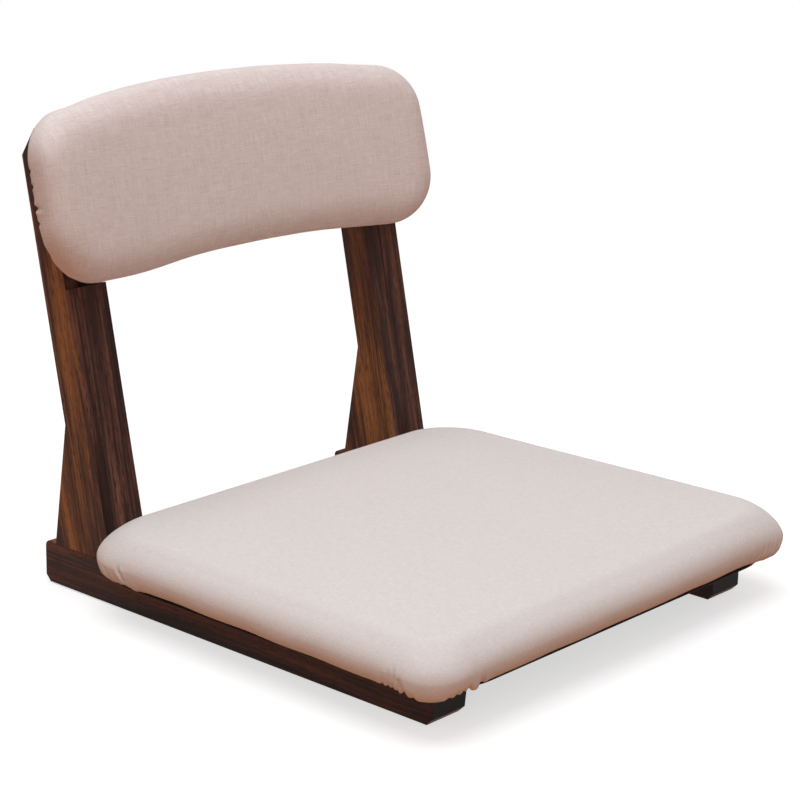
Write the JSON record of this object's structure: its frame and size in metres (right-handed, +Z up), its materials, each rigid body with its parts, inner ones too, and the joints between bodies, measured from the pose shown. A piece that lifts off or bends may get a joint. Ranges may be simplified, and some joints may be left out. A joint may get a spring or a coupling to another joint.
{
  "type": "tatami chair",
  "caption": "Legless floor chair: a thick flat seat pad on wooden floor rails and a curved back pad on kinked, rear-leaning wooden uprights, both covered in woven cloth.",
  "frame": {"origin": "on the floor, under the middle of the whole chair", "axes": "+X to the chair's right as seen from its front, looking at the back pad; +Y from the front of the seat to the back; +Z up"},
  "size_m": [0.46, 0.4916, 0.416],
  "materials": {
    "rail_wood": "dark stained, satin",
    "upright_wood": "dark stained, satin",
    "seat_fabric": "plain weave",
    "back_fabric": "plain weave with slubs",
    "lining_cloth": "spunbonded, matt",
    "plywood": "raw",
    "foam": "open cell",
    "zinc_steel": "zinc plated",
    "beech": "raw",
    "felt": "pressed felt"
  },
  "bodies": {
    "root": {"left_rail": "rail_wood", "right_rail": "rail_wood", "left_upright": "upright_wood", "right_upright": "upright_wood", "upright_dowels": "beech", "upright_screws": "zinc_steel", "floor_glides": "felt", "seat_board": "plywood", "seat_foam": "foam", "seat_cover": "seat_fabric", "seat_underlay": "lining_cloth", "seat_staples": "zinc_steel", "seat_bolts": "zinc_steel", "seat_washers": "zinc_steel", "seat_tee_nuts": "zinc_steel", "back_board": "plywood", "back_foam": "foam", "back_cover": "back_fabric", "back_lining": "lining_cloth", "back_staples": "zinc_steel", "back_bolts": "zinc_steel", "back_washers": "zinc_steel", "back_tee_nuts": "zinc_steel"}
  },
  "joints": []
}
